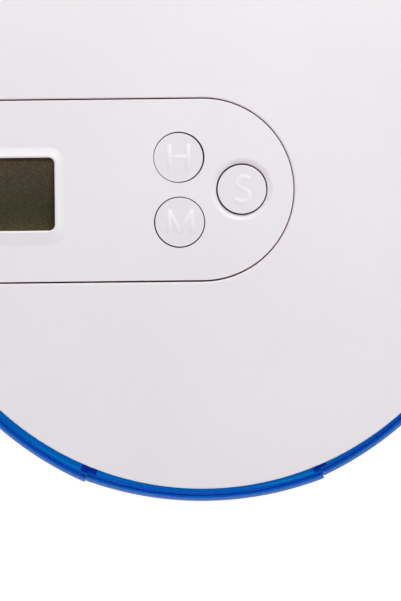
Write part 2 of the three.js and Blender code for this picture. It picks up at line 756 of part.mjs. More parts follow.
// Leaf that presses on the cell's top and stands on the board
function topContactGeometry() {
  const { leaf: thickness, half, reach, rise, legGap, leg: legWidth } = CONTACT;
  const low = CELL.under + CELL.h + rise;
  const high = low + thickness;
  const legX = CELL.x - CELL.r - legGap;
  const leaf = block(legX, CELL.x + reach, -half, half, low, high);
  const leg = block(legX, legX + legWidth, -half, half, BOARD.top + SEAT_GAP, high);
  return join(leaf, leg);
}

// Clip that stands on the board beside the cell's rim
function sideContactGeometry() {
  const low = BOARD.top + SEAT_GAP;
  const y = CELL.r + CLIP.gap;
  const [left, right] = [CELL.x - CLIP.half, CELL.x + CLIP.half];
  const blade = block(left, right, y, y + CLIP.blade, low, low + CLIP.height);
  const foot = block(left, right, y, y + CLIP.foot, low, low + CLIP.footH);
  return join(blade, foot);
}

// Assembly

const pillBox = new THREE.Group();

function add(parent, name, geometry, colour, roughness, extra = {}) {
  const material = new THREE.MeshStandardMaterial({
    color: colour,
    roughness,
    metalness: 0,
    flatShading: true,
    ...extra,
  });
  const mesh = new THREE.Mesh(geometry, material);
  mesh.name = name;
  parent.add(mesh);
  return mesh;
}

const WHITE = 0xe4e1e6;
const BLUE = 0x1048b8;
const BLACK = 0x202022;
const STEEL = { metalness: 0.9 };
const CLEAR_BLUE = { transparent: true, opacity: 0.8 };

add(pillBox, 'base_plate', baseGeometry(), WHITE, 0.45);
add(pillBox, 'top_cover', coverGeometry(), WHITE, 0.4);
add(pillBox, 'tray_deck', deckGeometry(), WHITE, 0.5);

const rimPanel = add(pillBox, 'rim_panel', rimPanelGeometry(), BLUE, 0.25, CLEAR_BLUE);
rimPanel.rotation.z = THREE.MathUtils.degToRad(FIXED_SECTOR_DEG);

DRAWERS.forEach(({ deg, proud }, i) => {
  const sector = new THREE.Group();
  sector.rotation.z = THREE.MathUtils.degToRad(deg);
  pillBox.add(sector);
  const drawer = add(sector, `day_drawer_${i + 1}`, drawerGeometry(), BLUE, 0.25, CLEAR_BLUE);
  drawer.position.x = proud;
});

BASE_SCREW_SPOTS.forEach(({ r, deg }, i) => {
  const screw = add(pillBox, `base_screw_${i + 1}`, screwGeometry(BASE_SCREW), 0xb8b8ba, 0.35, STEEL);
  screw.position.set(...polar(r, deg), BASE_SCREW.under);
});

FOOT_DEGS.forEach((deg, i) => {
  const foot = add(pillBox, `rubber_foot_${i + 1}`, footGeometry(), BLACK, 0.8);
  foot.position.set(...polar(FOOT_RING_R, deg), 0);
});

const timer = new THREE.Group();
pillBox.add(timer);
add(timer, 'timer_front_shell', frontShellGeometry(), WHITE, 0.4);
add(timer, 'timer_back_shell', backShellGeometry(), WHITE, 0.45);
add(timer, 'display_window', windowGeometry(), 0xd8dcd8, 0.05, { transparent: true, opacity: 0.25 });
add(timer, 'lcd_panel', lcdGeometry(), 0x3c4036, 0.25);
add(timer, 'lcd_connector_strip', connectorGeometry(), 0x9a5a6a, 0.7);
add(timer, 'circuit_board', boardGeometry(), 0x1f6b3a, 0.5);
add(timer, 'keypad_mat', matGeometry(), 0xc8c8cc, 0.8);
add(timer, 'button_cell', cellGeometry(), 0xc8c8ca, 0.25, STEEL).position.x = CELL.x;
add(timer, 'battery_contact_top', topContactGeometry(), 0xc0b090, 0.3, STEEL);
add(timer, 'battery_contact_side', sideContactGeometry(), 0xc0b090, 0.3, STEEL);
add(timer, 'battery_cap', capGeometry(), WHITE, 0.45).position.x = CELL.x;

const buzzerLow = BACK_TOP + 2 * SEAT_GAP;
const buzzer = post(BUZZER.x, 0, BUZZER.r, buzzerLow, buzzerLow + BUZZER.h, 24);
add(timer, 'buzzer_disc', buzzer, 0xb89a4a, 0.4, STEEL);

const chipTop = BOARD.under - SEAT_GAP;
const chipBlob = post(CHIP.x, 0, CHIP.tipR, chipTop - CHIP.h, chipTop, 20, CHIP.r);
add(timer, 'chip_blob', chipBlob, BLACK, 0.4);

KEYS.forEach(({ name, deg }) => {
  const key = add(timer, name, keyGeometry(), WHITE, 0.4);
  key.position.set(...polar(KEY_RING_R, deg), 0);
});

TIMER_SCREW_SPOTS.forEach(([x, y], i) => {
  const screw = add(timer, `timer_screw_${i + 1}`, screwGeometry(TIMER_SCREW), 0xb8b8ba, 0.35, STEEL);
  screw.position.set(x, y, TIMER_SCREW.under);
});

export default pillBox;
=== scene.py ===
"""Looks of the round electronic pill box: fine meshes, materials, studio light and camera.

The named sizes are in millimetres and are scaled to metres when a mesh becomes an object.
"""
import json
import math

import bmesh
import bpy
from mathutils import Matrix, Vector


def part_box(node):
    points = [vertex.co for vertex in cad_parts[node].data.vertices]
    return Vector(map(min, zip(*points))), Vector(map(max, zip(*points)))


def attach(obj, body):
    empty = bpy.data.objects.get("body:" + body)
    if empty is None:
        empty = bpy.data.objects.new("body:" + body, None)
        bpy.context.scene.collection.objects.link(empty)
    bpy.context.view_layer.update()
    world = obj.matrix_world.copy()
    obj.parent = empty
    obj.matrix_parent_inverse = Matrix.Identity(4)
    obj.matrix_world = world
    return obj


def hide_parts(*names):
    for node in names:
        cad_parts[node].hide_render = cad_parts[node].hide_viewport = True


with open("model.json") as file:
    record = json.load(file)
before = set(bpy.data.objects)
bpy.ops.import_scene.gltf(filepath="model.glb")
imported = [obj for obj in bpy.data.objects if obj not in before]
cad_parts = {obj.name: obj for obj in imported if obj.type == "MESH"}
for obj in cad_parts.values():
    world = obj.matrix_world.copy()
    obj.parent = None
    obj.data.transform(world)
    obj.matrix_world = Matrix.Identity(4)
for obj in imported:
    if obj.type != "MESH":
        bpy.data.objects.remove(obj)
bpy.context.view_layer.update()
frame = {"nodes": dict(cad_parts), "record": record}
MM = 0.001

# Photograph, taken straight down: its size and the circle of the cover's edge, in pixels
PHOTO_W = 401
PHOTO_H = 601
PHOTO_COVER_X = 202.0
PHOTO_COVER_Y = 189.65
PHOTO_COVER_R = 298.96
PHOTO_TURN = math.radians(0.61)

# Camera: height over the cover in metres, and width of the sensor in millimetres
CAMERA_HEIGHT = 2.5
CAMERA_SIGHT = 10
SENSOR = 36.0

# Stage: half width of the floor in metres, its grey and lift, and the surround's levels
FLOOR_HALF = 3.0
FLOOR_GREY = 0.8
FLOOR_LIFT = 0.7
SURROUND_LEVEL = 0.617
SURROUND_IN_GLOSS = 0.43

# Sizes taken from the frame
COVER_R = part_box("top_cover")[1][1] / MM
COVER_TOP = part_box("top_cover")[1][2] / MM
TIMER_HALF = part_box("timer_front_shell")[1][1] / MM
TIMER_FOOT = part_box("timer_front_shell")[0][2] / MM
KEY_LOW, KEY_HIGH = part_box("set_key")
KEY_TOP = KEY_HIGH[2] / MM
KEY_RING_R = (KEY_LOW[0] + KEY_HIGH[0]) / 2 / MM

# Overlap of joined forms, and how far a cutting form stands past what it cuts
OVERLAP = 0.5
THROUGH = 1.0
PAST_RIM = 8.0

# Cover; a rounded edge is given as (width, depth)
COVER_PLATE = 1.6
COVER_RIM_FOOT = 23.0
COVER_EDGE_ROUND = 0.22
COVER_UNDER_EDGE = 0.2
CLEARANCE = 0.3
CHANNEL_GAP = 0.2
CHANNEL_EDGE = (0.32, 0.6)
CHANNEL_END_FLARE = 0.65
SKIRT_OUT_R = 43.7
SKIRT_IN_R = 42.2
SKIRT_FOOT = 16.4
CHANNEL_WALL = 2.0
CHANNEL_UNDER = 16.5
CHANNEL_FLOOR = 17.7
CHANNEL_END_R = 43.9
FLANGE_OUT = 1.0
FLANGE_LOW = 18.6
FLANGE_HIGH = 19.5
GROOVE_END = 0.4

# Timer face; its round end sits a little closer in the channel than its sides
TIMER_FIT = 0.05
TIMER_END_FIT = (0.123, 0.02)
TIMER_SHIFT = 0.015
TIMER_EDGE = (0.08, 0.08)
TIMER_WALL = 1.2
TIMER_FACE = 1.5
GRIP_COUNT = 5
GRIP_PITCH = 2.6
GRIP_R = 0.45
GRIP_DROP = 1.6
GRIP_RISE = 1.0

# Keys: direction from the middle, radius, gap, shift of the hole, and seat off the ring
KEY_EDGE_ROUND = 0.05
KEY_HOLE_EDGE = (0.045, 0.08)
KEY_HOLE_DEPTH = 3.0
KEY_FLANGE_R = 4.5
KEY_FLANGE_LOW = 0.45
KEY_FLANGE_HIGH = 1.05
KEY_STEM_R = 2.0
KEYS = {
    "hour_key": dict(deg=126, r=3.766, gap=0.158, shift=(0.085, 0.037), seat=(0.012, 0.03)),
    "minute_key": dict(deg=234, r=3.768, gap=0.165, shift=(-0.018, -0.026), seat=(0.114, -0.007)),
    "set_key": dict(deg=0, r=3.742, gap=0.196, shift=(-0.022, 0.014), seat=(0.03, 0.0)),
}
DISH_R = 5.0
DISH_DEPTH = 0.35

# Display opening as (x0, x1, y0, y1), and its raised frame
WINDOW = (-41.2, -22.7, -6.05, 5.18)
WINDOW_CORNER = 0.92
FRAME_TOP = 26.4
FRAME_SIDE = 1.5
FRAME_FRONT = 2.2
FRAME_BACK = 1.68
FRAME_SLOPE = 0.65
FRAME_CREST = 0.32
FRAME_INNER_EDGE = 0.01
FRAME_INNER_DROP = 0.22

# Drawer fronts, in a sector whose middle line is +X
HALF_SECTOR = math.radians(22.5)
SEAM_HALF_GAP = 0.003
SEAM_EDGE = 0.15
FACE_R = 51.95
FACE_SET_BACK = 4.4
FRONT_WALL = 1.5
FRONT_FOOT = 1.2
FRONT_TOP = 22.6
FRONT_LEAN = 0.95
LEAN_POWER = 1.8
WALL_H = 18.0
WALL_STEPS = 10
# Shoulder as (depth below the top, inset from the face arc), under a bead of its own
BEAD_DROP = 0.82
BEAD_INSET = 0.10
BEAD_R = 0.08
SHOULDER = (
    (0.74, 0.42), (0.88, 0.49), (0.86, 0.55), (0.15, 0.61), (0.09, 0.64),
    (0.07, 0.68), (0.07, 0.90), (0.05, 0.93), (0.01, 0.95), (0, 0.99),
)
LIP_OUT = 0.67
LIP_H = 0.8
LIP_CORNER = 0.12
LIP_ROUND = 0.25
LIP_FILLET = 0.3
RETURN_R = 44.2
RETURN_PAST_COVER = 0.3
RETURN_RISE = 0.1
RETURN_DROP = 0.25
RETURN_SET_IN = 0.015

# Trays, their runners, and each drawer as (direction, how far its front stands out)
TRAY_IN_R = 16.4
TRAY_WALL = 1.0
TRAY_UNDER = 4.6
TRAY_FLOOR = 1.2
TRAY_TOP = 16.1
TRAY_FACE_R = 49.9
TRAY_INTO_FACE = 1.2
TRAY_SET_IN = 0.03
FLOOR_CURVE = 1.6
FLOOR_STEPS = 6
RUNNER_W = 4.3
RUNNER_END = 43.4
HEEL_W = 6.0
HEEL_START = 16.9
HEEL_LENGTH = 3.0
RUNNER_FOOT = 2.9
DRAWERS = [(0, 0), (45, 0), (90, 0), (135, 0), (225, 0.3), (270, 0), (315, -0.4)]
FIXED_SECTOR_DEG = 180
NOTCH_GAP = 0.4
NOTCH_REACH = 4.0

# Screws, head down, as (kind, count, body, (head height, shank radius))
SCREWS = (
    ("base", 5, "box", (1.5, 1.1)),
    ("timer", 4, "timer", (0.6, 0.9)),
)
SCREW_TIP = 1.0
SCREW_TURN = 25
# Crown and recess as shares of the head, but for the recess's greatest depth
CROWN_FLAT = 0.62
CROWN_H = 0.6
RECESS_REACH = 0.56
RECESS_HALF_WIDTH = 0.13
RECESS_DEPTH = 0.8

# Fineness
RING_STEPS = 192
TONGUE_STEPS = 64
KEY_STEPS = 96
POST_STEPS = 48
SCREW_STEPS = 36
ARC_STEPS = 28
RIM_STEPS = 24
GRIP_STEPS = 16
DISH_STEPS = 14
FRAME_STEPS = 8
INNER_STEPS = 8
INNER_ARC_STEPS = 10
ROUND_STEPS = 6
SMALL_ROUND_STEPS = 4
SHARP = math.radians(32)
QUARTER_TURN = math.pi / 2


# Meshes in millimetres

def solid(verts, faces):
    mesh = bpy.data.meshes.new("solid")
    mesh.from_pydata([tuple(v) for v in verts], [], faces)
    return mesh


def skin(rings, closed=False):
    """Vertices of (outline, height) rings of equal length, and the faces between neighbours."""
    size = len(rings[0][0])
    verts = [(x, y, z) for outline, z in rings for x, y in outline]
    faces = []
    for level in range(len(rings) if closed else len(rings) - 1):
        low = level * size
        high = (level + 1) % len(rings) * size
        for i in range(size):
            j = (i + 1) % size
            faces.append((low + i, low + j, high + j, high + i))
    return verts, faces


def loft(rings):
    """Solid through a stack of rings, lowest first, with flat ends."""
    verts, faces = skin(rings)
    size = len(rings[0][0])
    top = len(verts) - size
    faces.append(tuple(reversed(range(size))))
    faces.append(tuple(range(top, top + size)))
    return solid(verts, faces)


def prism(outline, low, high):
    return loft([(outline, low), (outline, high)])


def block(x0, x1, y0, y1, z0, z1):
    return prism([(x0, y0), (x1, y0), (x1, y1), (x0, y1)], z0, z1)


def revolve(profile, steps=RING_STEPS):
    """Turns a profile of (radius, height) points round Z.

    The profile starts and ends on the axis, or closes on itself.
    """
    verts, rows = [], []
    for r, z in profile:
        start = len(verts)
        if r == 0:
            verts.append((0, 0, z))
            rows.append([start])
            continue
        turns = [2 * math.pi * i / steps for i in range(steps)]
        verts += [(r * math.cos(a), r * math.sin(a), z) for a in turns]
        rows.append(list(range(start, start + steps)))
    pairs = list(zip(rows, rows[1:]))
    if profile[0][0] > 0:
        pairs.append((rows[-1], rows[0]))
    faces = []
    for a, b in pairs:
        if len(a) == 1 and verts[a[0]][2] == verts[b[0]][2]:
            faces.append(tuple(reversed(b)))
        elif len(b) == 1 and verts[a[0]][2] == verts[b[0]][2]:
            faces.append(tuple(a))
        else:
            faces += band(a, b, steps)
    mesh = solid(verts, faces)
    bm = bmesh.new()
    bm.from_mesh(mesh)
    loose = [v for v in bm.verts if not v.link_faces]
    bmesh.ops.delete(bm, geom=loose, context="VERTS")
    bm.to_mesh(mesh)
    bm.free()
    return mesh


def band(a, b, steps):
    """Faces between two rows of a revolved mesh, where a row of one vertex is a pole."""
    faces = []
    for i in range(steps):
        j = (i + 1) % steps
        if len(a) == 1:
            faces.append((a[0], b[j], b[i]))
        elif len(b) == 1:
            faces.append((a[i], a[j], b[0]))
        else:
            faces.append((a[i], a[j], b[j], b[i]))
    return faces


def circle(x, y, r, steps=POST_STEPS):
    turns = [2 * math.pi * i / steps for i in range(steps)]
    return [(x + r * math.cos(a), y + r * math.sin(a)) for a in turns]


def post(x, y, r, low, high, steps=POST_STEPS):
    return prism(circle(x, y, r, steps), low, high)


def arc(x, y, r, start, end, steps=ARC_STEPS):
    turns = [start + (end - start) * i / steps for i in range(steps + 1)]
    return [(x + r * math.cos(a), y + r * math.sin(a)) for a in turns]


def quarter(r, z, radius):
    """Quarter round from a vertical side to a flat top, for a profile."""
    return arc(r, z, radius, 0, QUARTER_TURN, ROUND_STEPS)


def rounded_top(outline, low, top, edge):
    """Prism of outline(offset) whose upper edge is rounded over by edge = (width, depth)."""
    width, depth = edge
    rings = [(outline(0), low)]
    for x, y in quarter(0, 0, 1):
        rings.append((outline((x - 1) * width), top + (y - 1) * depth))
    return loft(rings)


def flared_top(outline, low, top, edge):
    """Cutting prism of outline(offset) whose mouth flares out by edge = (width, depth)."""
    width, depth = edge
    rings = [(outline(0), low)]
    for x, y in quarter(0, 0, 1):
        rings.append((outline((1 - x) * width), top + (y - 1) * depth))
    rings.append((outline(width), top + THROUGH))
    return loft(rings)


def turned(mesh, deg=0.0, shift=(0, 0, 0)):
    """A copy moved by shift and then turned about Z."""
    copy = mesh.copy()
    copy.transform(Matrix.Rotation(math.radians(deg), 4, "Z") @ Matrix.Translation(shift))
    return copy


def combine(operation, base, tools):
    """Boolean of a mesh with several others."""
    scene = bpy.context.scene.collection
    body = bpy.data.objects.new("body", base)
    scene.objects.link(body)
    for tool in tools:
        other = bpy.data.objects.new("tool", tool)
        scene.objects.link(other)
        step = body.modifiers.new("cut", "BOOLEAN")
        step.operation = operation
        step.solver = "EXACT"
        step.object = other
        bpy.context.view_layer.update()
        evaluated = body.evaluated_get(bpy.context.evaluated_depsgraph_get())
        result = bpy.data.meshes.new_from_object(evaluated)
        body.modifiers.clear()
        body.data = result
        bpy.data.objects.remove(other)
    mesh = body.data
    bpy.data.objects.remove(body)
    return mesh


def join(base, *tools):
    return combine("UNION", base, tools)


def cut(base, *tools):
    return combine("DIFFERENCE", base, tools)


# Pieces

def piece(name, mesh, material, body, replaced=(), place=None):
    """Makes a mesh in millimetres an object in metres, set at its place, that rides on a body."""
    final = mesh.copy()
    final.name = name
    final.transform(Matrix.Scale(MM, 4))
    final.shade_smooth()
    final.set_sharp_from_angle(angle=SHARP)
    made = bpy.data.objects.new(name, final)
    bpy.context.scene.collection.objects.link(made)
    if place:
        made.matrix_world = place
    final.materials.clear()
    final.materials.append(material)
    normals = made.modifiers.new("normals", "WEIGHTED_NORMAL")
    normals.keep_sharp = True
    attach(made, body)
    if replaced:
        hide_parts(*replaced)
    return made


# Materials

def node_material(name):
    material = bpy.data.materials.new(name)
    material.use_nodes = True
    nodes = material.node_tree.nodes
    return material, nodes, material.node_tree.links, nodes["Principled BSDF"]


def noise(nodes, links, scale, detail=4.0, stretch=None):
    """Noise in object space, with sizes per metre."""
    place = nodes.new("ShaderNodeTexCoord")
    texture = nodes.new("ShaderNodeTexNoise")
    texture.inputs["Scale"].default_value = scale
    texture.inputs["Detail"].default_value = detail
    source = place.outputs["Object"]
    if stretch:
        mapping = nodes.new("ShaderNodeMapping")
        mapping.inputs["Scale"].default_value = stretch
        links.new(source, mapping.inputs["Vector"])
        source = mapping.outputs["Vector"]
    links.new(source, texture.inputs["Vector"])
    return texture.outputs["Fac"]


def ramp(nodes, links, source, stops):
    made = nodes.new("ShaderNodeValToRGB")
    made.color_ramp.elements[0].position, made.color_ramp.elements[0].color = stops[0]
    made.color_ramp.elements[1].position, made.color_ramp.elements[1].color = stops[-1]
    for place, colour in stops[1:-1]:
        made.color_ramp.elements.new(place).color = colour
    links.new(source, made.inputs["Fac"])
    return made.outputs["Color"]


def bump(nodes, links, shader, height, distance, strength=1.0):
    made = nodes.new("ShaderNodeBump")
    made.inputs["Strength"].default_value = strength
    made.inputs["Distance"].default_value = distance
    links.new(height, made.inputs["Height"])
    links.new(made.outputs["Normal"], shader.inputs["Normal"])


def spread(nodes, links, source, low, high):
    """Maps a noise of about 0.3 to 0.7 to a range."""
    made = nodes.new("ShaderNodeMapRange")
    made.inputs["From Min"].default_value = 0.3
    made.inputs["From Max"].default_value = 0.7
    made.inputs["To Min"].default_value = low
    made.inputs["To Max"].default_value = high
    links.new(source, made.inputs["Value"])
    return made.outputs["Result"]


def calc(nodes, links, operation, a, b=None):
    """One Math node; each side is a socket or a number."""
    made = nodes.new("ShaderNodeMath")
    made.operation = operation
    for socket, value in zip(made.inputs, (a, b)):
        if value is None:
            continue
        if isinstance(value, (int, float)):
            socket.default_value = value
        else:
            links.new(value, socket)
    return made.outputs[0]


def fade(nodes, links, source, start, end):
    """Smooth 0 to 1 between two values of a source."""
    made = nodes.new("ShaderNodeMapRange")
    made.interpolation_type = "SMOOTHSTEP"
    made.inputs["From Min"].default_value = start
    made.inputs["From Max"].default_value = end
    links.new(source, made.inputs["Value"])
    return made.outputs["Result"]


def fade_mm(nodes, links, source, start, end):
    """Fade of a length, between two values in millimetres."""
    return fade(nodes, links, source, start * MM, end * MM)


def place_xyz(nodes, links):
    """X, Y and Z in object space, in metres."""
    place = nodes.new("ShaderNodeTexCoord")
    split = nodes.new("ShaderNodeSeparateXYZ")
    links.new(place.outputs["Object"], split.inputs[0])
    return split.outputs


def blend_colour(nodes, links, factor, a, b, mode="MIX"):
    """One colour Mix node; the factor and each side are a socket or a value."""
    made = nodes.new("ShaderNodeMix")
    made.data_type = "RGBA"
    made.blend_type = mode
    sockets = (made.inputs["Factor"], made.inputs[6], made.inputs[7])
    for socket, value in zip(sockets, (factor, a, b)):
        if isinstance(value, (int, float, tuple)):
            socket.default_value = value
        else:
            links.new(value, socket)
    return made.outputs[2]


def grey(level):
    return (level, level, level, 1)


def shade(colour, factor):
    return (colour[0] * factor, colour[1] * factor, colour[2] * factor, 1.0)


# Painted shade inside narrow gaps: reach in millimetres, fade over the share of open sky, tint and
# dulled gloss
GAP_SAMPLES = 12
GAP_REACH = 1.2
GAP_FADE = (0.12, 0.68)
GAP_SHADE_TINT = (0.46, 0.14, 0.21)
GAP_ROUGHNESS = 0.95


def moulded(name, colour, roughness, grain_scale, grain_depth, gaps=True):
    """Moulded plastic: slow tone drift, grain and uneven gloss, with painted shade and dulled gloss
    inside narrow gaps.
    """
    material, nodes, links, shader = node_material(name)
    drift = noise(nodes, links, 35.0, 2.0)
    tone = ramp(nodes, links, drift, [(0.35, shade(colour, 0.985)), (0.65, shade(colour, 1.01))])
    patch = noise(nodes, links, 90.0, 3.0)
    gloss = spread(nodes, links, patch, roughness - 0.03, roughness + 0.04)
    if gaps:
        shut_in = nodes.new("ShaderNodeAmbientOcclusion")
        shut_in.samples = GAP_SAMPLES
        shut_in.inputs["Distance"].default_value = GAP_REACH * MM
        open_sky = fade(nodes, links, shut_in.outputs["AO"], *GAP_FADE)
        # Painted shade: a darker reddish tint where the ambient occlusion finds a narrow gap
        gap_shade = (*(part * tint for part, tint in zip(colour, GAP_SHADE_TINT)), 1)
        tone = blend_colour(nodes, links, open_sky, gap_shade, tone)
        inside = calc(nodes, links, "SUBTRACT", 1.0, open_sky)
        dull = calc(nodes, links, "MULTIPLY", inside, GAP_ROUGHNESS)
        gloss = calc(nodes, links, "MAXIMUM", gloss, dull)
    links.new(tone, shader.inputs["Base Color"])
    links.new(gloss, shader.inputs["Roughness"])
    grain = noise(nodes, links, grain_scale, 3.0)
    bump(nodes, links, shader, grain, grain_depth)
    shader.inputs["Specular IOR Level"].default_value = 0.4
    shader.inputs["Subsurface Weight"].default_value = 0.2
    shader.inputs["Subsurface Radius"].default_value = (1.0, 0.8, 0.85)
    shader.inputs["Subsurface Scale"].default_value = 0.0004
    return material


# Bands of painted light and shade on the blue plastic, in millimetres: its top, paler foot lip,
# navy seam corners and the highlight on top
BLUE_TOP_DEPTH = 2
BLUE_TOP_BAND = (21.2, 21.7)
BLUE_LIP_LIGHT_BAND = (2.3, 1.9)
BLUE_SEAM_SHADE_WIDTH = (1.35, 1.05)
BLUE_SEAM_SHADE_INSET = (0.8, 1.05)
GLINT_INSET = 1.12
GLINT_SLANT = 0.0056
GLINT_BLUR = (0.17, 0.02)
GLINT_MIDDLE = -4
GLINT_RISE = (6, 19)


def translucent_blue():
    """Translucent blue plastic in a drawer's own frame, whose middle line is +X.

    It carries painted light and shade: paler in the thin foot lip, a painted highlight along the
    ridge of the top, painted shade in the step below it, and navy painted shade where the end
    walls stand behind the seams. A painted highlight runs a little askew along the top and
    grows towards both ends, where light comes in.
    """
    material, nodes, links, shader = node_material("translucent_blue")
    flow = noise(nodes, links, 120.0, 3.0, (1.0, 1.0, 0.25))
    tone = ramp(nodes, links, flow, [(0.3, (0.0, 0.190, 0.80, 1)), (0.7, (0.0, 0.215, 0.86, 1))])
    x, y, z = place_xyz(nodes, links)
    forward = calc(nodes, links, "ADD", x, FACE_SET_BACK * MM)
    reach = calc(nodes, links, "SQRT", calc(
        nodes, links, "ADD",
        calc(nodes, links, "MULTIPLY", forward, forward),
        calc(nodes, links, "MULTIPLY", y, y),
    ))
    inset = calc(nodes, links, "SUBTRACT", FACE_R * MM, reach)
    # Painted light and shade across the top, by inset from the face arc: dark steps and a bright
    # ridge highlight
    top = ramp(nodes, links, calc(nodes, links, "DIVIDE", inset, BLUE_TOP_DEPTH * MM), [
        (0.00, (0.0, 0.160, 0.80, 1)),
        (0.20, (0.0, 0.122, 0.77, 1)),
        (0.27, (0.0, 0.074, 0.66, 1)),
        (0.35, (0.0, 0.100, 0.75, 1)),
        (0.45, (0.0, 0.100, 0.76, 1)),
        (0.485, (0.0, 0.225, 0.86, 1)),
        (0.52, (0.0, 0.105, 0.68, 1)),
        (0.62, (0.0, 0.185, 0.74, 1)),
    ])
    # Painted highlight: a bright line a little askew along the top, growing towards both ends
    askew = calc(nodes, links, "ADD", inset, calc(nodes, links, "MULTIPLY", y, GLINT_SLANT))
    off_line = calc(nodes, links, "SUBTRACT", askew, GLINT_INSET * MM)
    off_line = calc(nodes, links, "ABSOLUTE", off_line)
    sideways = calc(nodes, links, "SUBTRACT", y, GLINT_MIDDLE * MM)
    sideways = calc(nodes, links, "ABSOLUTE", sideways)
    painted_glint = calc(
        nodes, links, "MULTIPLY",
        fade_mm(nodes, links, off_line, *GLINT_BLUR),
        fade_mm(nodes, links, sideways, *GLINT_RISE),
    )
    top = blend_colour(nodes, links, painted_glint, top, (0, 0.44, 1.0, 1))
    high = fade_mm(nodes, links, z, *BLUE_TOP_BAND)
    tone = blend_colour(nodes, links, high, tone, top)
    # Painted navy shade near the seams, where the end walls stand behind the top
    along = calc(nodes, links, "MULTIPLY", x, math.sin(HALF_SECTOR))
    aside = calc(nodes, links, "MULTIPLY", calc(nodes, links, "ABSOLUTE", y), math.cos(HALF_SECTOR))
    from_seam = calc(nodes, links, "SUBTRACT", along, aside)
    near = fade_mm(nodes, links, from_seam, *BLUE_SEAM_SHADE_WIDTH)
    behind = fade_mm(nodes, links, inset, *BLUE_SEAM_SHADE_INSET)
    corner = calc(nodes, links, "MULTIPLY", calc(nodes, links, "MULTIPLY", near, behind), high)
    tone = blend_colour(nodes, links, corner, tone, (0.0, 0.014, 0.36, 1))
    # Painted light: the thin foot lip is paler and greyer
    thin = fade_mm(nodes, links, z, *BLUE_LIP_LIGHT_BAND)
    tone = blend_colour(nodes, links, thin, tone, (0.19, 0.30, 0.66, 1))
    links.new(tone, shader.inputs["Base Color"])
    uneven = noise(nodes, links, 300.0, 2.0)
    links.new(spread(nodes, links, uneven, 0.08, 0.14), shader.inputs["Roughness"])
    shader.inputs["Transmission Weight"].default_value = 0.6
    shader.inputs["IOR"].default_value = 1.45
    shader.inputs["Specular IOR Level"].default_value = 0.15
    bump(nodes, links, shader, flow, 0.00002, 0.5)
    return material


# Display in millimetres: the depth of its tone and painted light about Y = 0, the insets of
# its back line and of its inner end's painted light, and the band of Y over which that light
# fades in towards the front
DISPLAY_DEPTH = 12
DISPLAY_DRIFT = 3
BACK_LINE = (0.7, 0.3)
INNER_END_LIGHT = (2.0, 0.3)
INNER_END_LIGHT_FADE = (4.4, 2.4)


def display_face():
    """Unlit reflective display: olive-grey and fine-grained, browner towards its back, with painted
    light that brightens its back, front and inner edges where the frame shades it.
    """
    material, nodes, links, shader = node_material("display_face")
    x, y, _ = place_xyz(nodes, links)
    cloud = noise(nodes, links, 90.0, 3.0)
    drift = calc(nodes, links, "SUBTRACT", cloud, 0.5)
    drift = calc(nodes, links, "MULTIPLY", drift, DISPLAY_DRIFT * MM)
    depth = calc(nodes, links, "ADD", calc(nodes, links, "ADD", y, drift), DISPLAY_DEPTH / 2 * MM)
    depth = calc(nodes, links, "DIVIDE", depth, DISPLAY_DEPTH * MM)
    # Tone across the display, with painted light towards its back and front edges against the
    # frame's shade
    tone = ramp(nodes, links, depth, [
        (0.03, (0.150, 0.124, 0.046, 1)),
        (0.13, (0.098, 0.086, 0.028, 1)),
        (0.30, (0.075, 0.070, 0.020, 1)),
        (0.50, (0.085, 0.072, 0.030, 1)),
        (0.65, (0.115, 0.092, 0.046, 1)),
        (0.72, (0.160, 0.120, 0.064, 1)),
        (0.85, (0.330, 0.235, 0.140, 1)),
    ])
    # Amber line along the back edge, where the glass meets the shell
    back_line = fade_mm(nodes, links, y, *(WINDOW[3] - inset for inset in BACK_LINE))
    tone = blend_colour(nodes, links, back_line, tone, (0.20, 0.115, 0.035, 1))
    # Painted light at the inner end, brighter and warmer where the shell's wall shades it
    inner_end_light = calc(
        nodes, links, "MULTIPLY",
        fade_mm(nodes, links, x, *(WINDOW[1] - inset for inset in INNER_END_LIGHT)),
        fade_mm(nodes, links, y, *INNER_END_LIGHT_FADE),
    )
    tone = blend_colour(nodes, links, inner_end_light, tone, (1.45, 1.18, 0.88, 1), "MULTIPLY")
    grain = noise(nodes, links, 5200.0, 2.0)
    speck = ramp(nodes, links, grain, [(0.3, (0.52, 0.52, 0.52, 1)), (0.7, (1.48, 1.48, 1.44, 1))])
    tone = blend_colour(nodes, links, 1.0, tone, speck, "MULTIPLY")
    links.new(tone, shader.inputs["Base Color"])
    links.new(spread(nodes, links, grain, 0.45, 0.6), shader.inputs["Roughness"])
    bump(nodes, links, shader, grain, 0.00001, 0.4)
    return material


def clear_plastic():
    """Thin clear pane: mostly see-through, with its gloss kept."""
    material, nodes, links, shader = node_material("clear_window")
    haze = noise(nodes, links, 400.0, 2.0)
    tone = ramp(nodes, links, haze, [
        (0.3, (0.028, 0.028, 0.026, 1)),
        (0.7, (0.034, 0.034, 0.031, 1)),
    ])
    links.new(tone, shader.inputs["Base Color"])
    links.new(spread(nodes, links, haze, 0.04, 0.08), shader.inputs["Roughness"])
    shader.inputs["IOR"].default_value = 1.9
    shader.inputs["Alpha"].default_value = 0.2
    return material


def rubber(name, colour, roughness=0.75):
    material, nodes, links, shader = node_material(name)
    grain = noise(nodes, links, 2500.0, 4.0)
    tone = ramp(nodes, links, grain, [(0.3, shade(colour, 0.85)), (0.7, shade(colour, 1.15))])
    links.new(tone, shader.inputs["Base Color"])
    gloss = spread(nodes, links, grain, roughness - 0.06, roughness + 0.06)
    links.new(gloss, shader.inputs["Roughness"])
    bump(nodes, links, shader, grain, 0.00003, 0.6)
    return material


